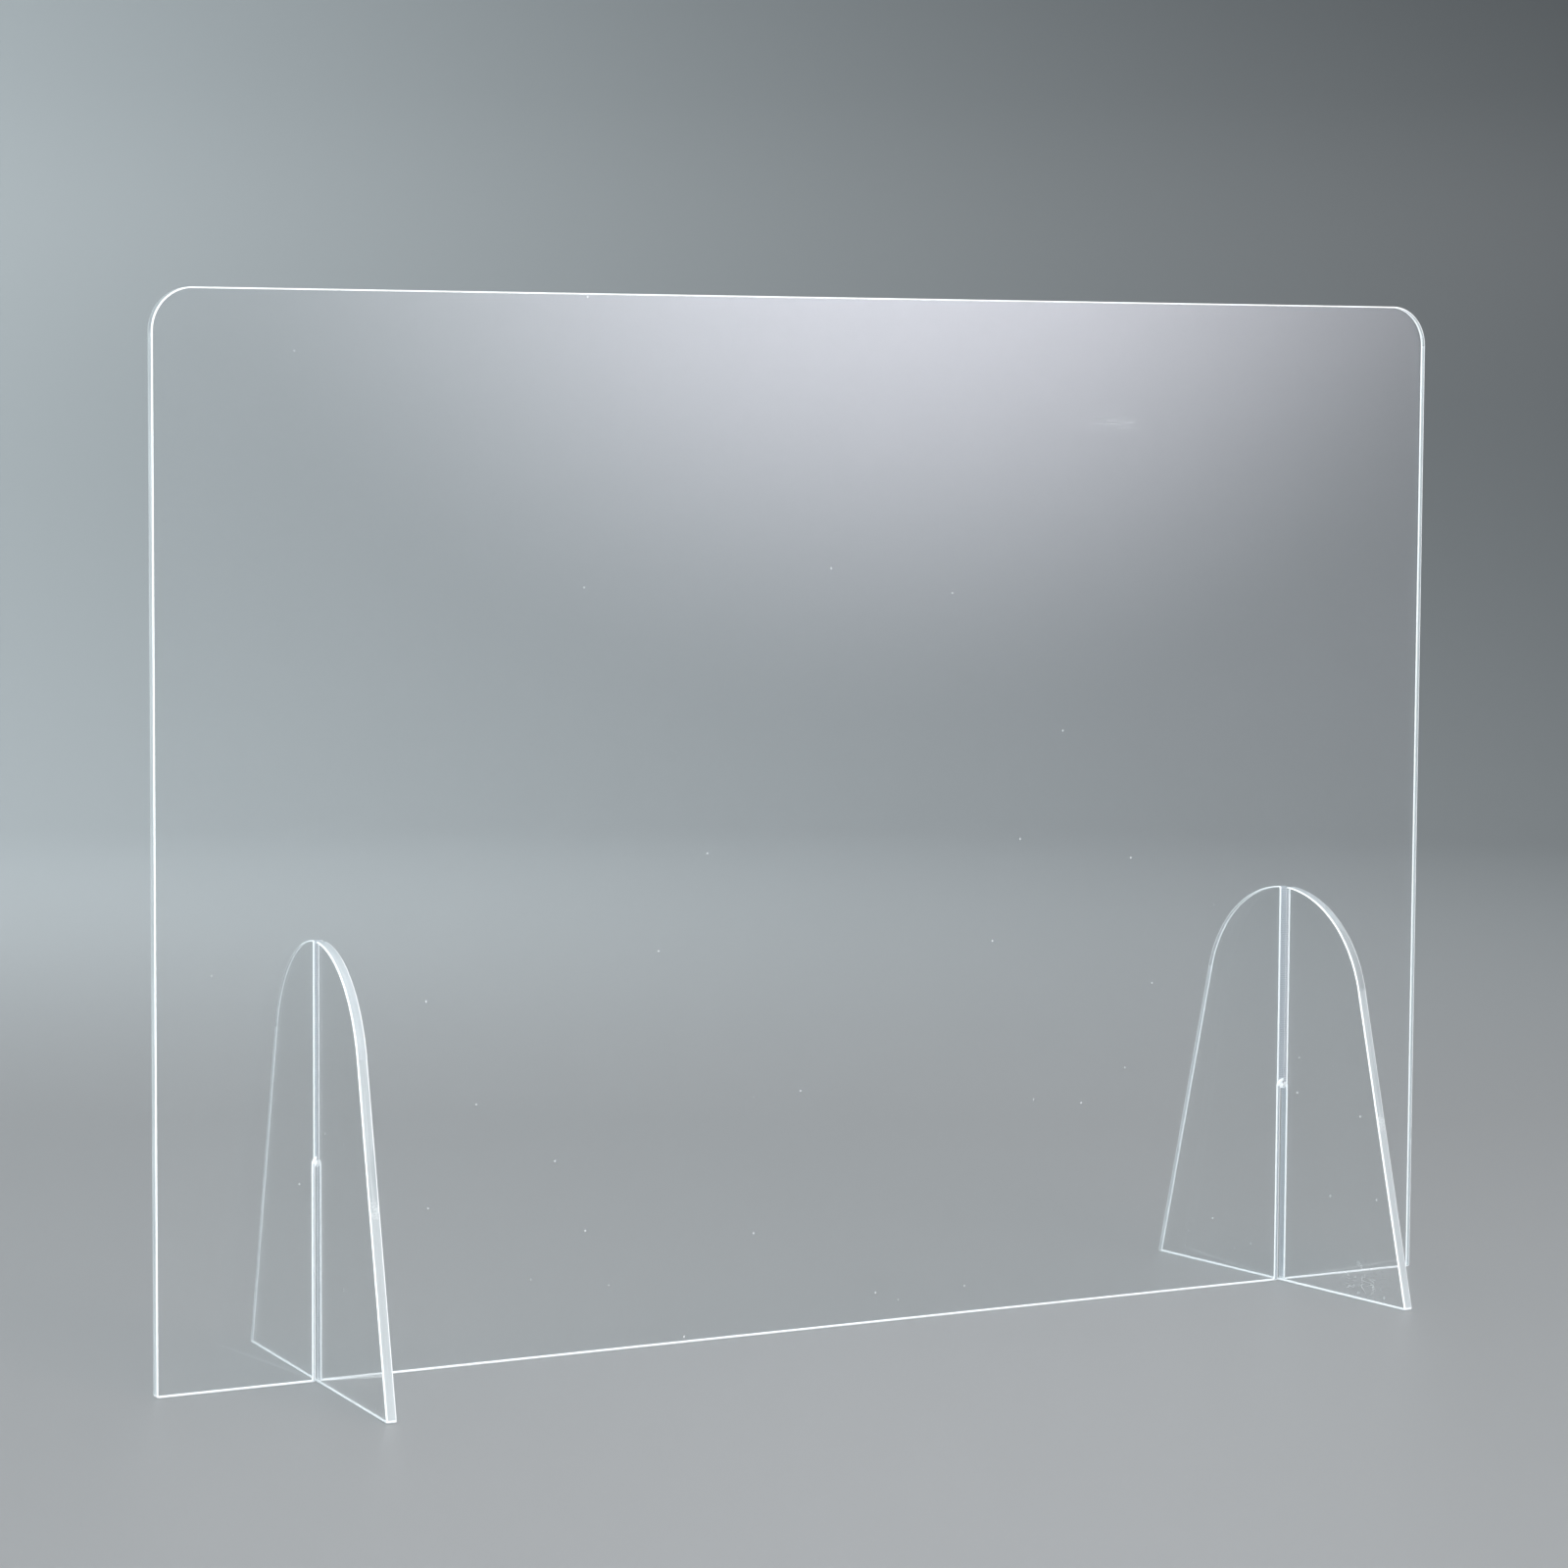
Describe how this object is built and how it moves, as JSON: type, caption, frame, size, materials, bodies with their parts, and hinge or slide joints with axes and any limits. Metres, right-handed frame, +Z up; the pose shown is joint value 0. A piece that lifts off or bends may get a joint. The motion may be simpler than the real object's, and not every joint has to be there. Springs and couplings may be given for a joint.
{
  "type": "countertop sneeze guard",
  "caption": "Free-standing clear acrylic counter screen: a wide round-cornered panel held upright by arched slotted feet in half-lap joints.",
  "frame": {"origin": "on the surface that the guard stands on, under the middle of the panel", "axes": "+X along the panel's width, -Y towards the customer's side, +Z up"},
  "size_m": [0.7, 0.1976, 0.5],
  "materials": {
    "clear_acrylic": "polished"
  },
  "bodies": {
    "foot_left": {"foot_left": "clear_acrylic"},
    "panel": {"panel": "clear_acrylic"},
    "foot_right": {"foot_right": "clear_acrylic"}
  },
  "joints": [
    {"name": "panel_lift", "type": "slide", "parent": "foot_left", "child": "panel", "axis": [0, 0, 1], "range_m": [0, 0.21]},
    {"name": "foot_right_release", "type": "slide", "parent": "panel", "child": "foot_right", "axis": [0, 0, -1], "range_m": [0, 0.21]}
  ],
  "couplings": [
    {"joint": "foot_right_release", "follows": "panel_lift", "ratio": 1}
  ]
}
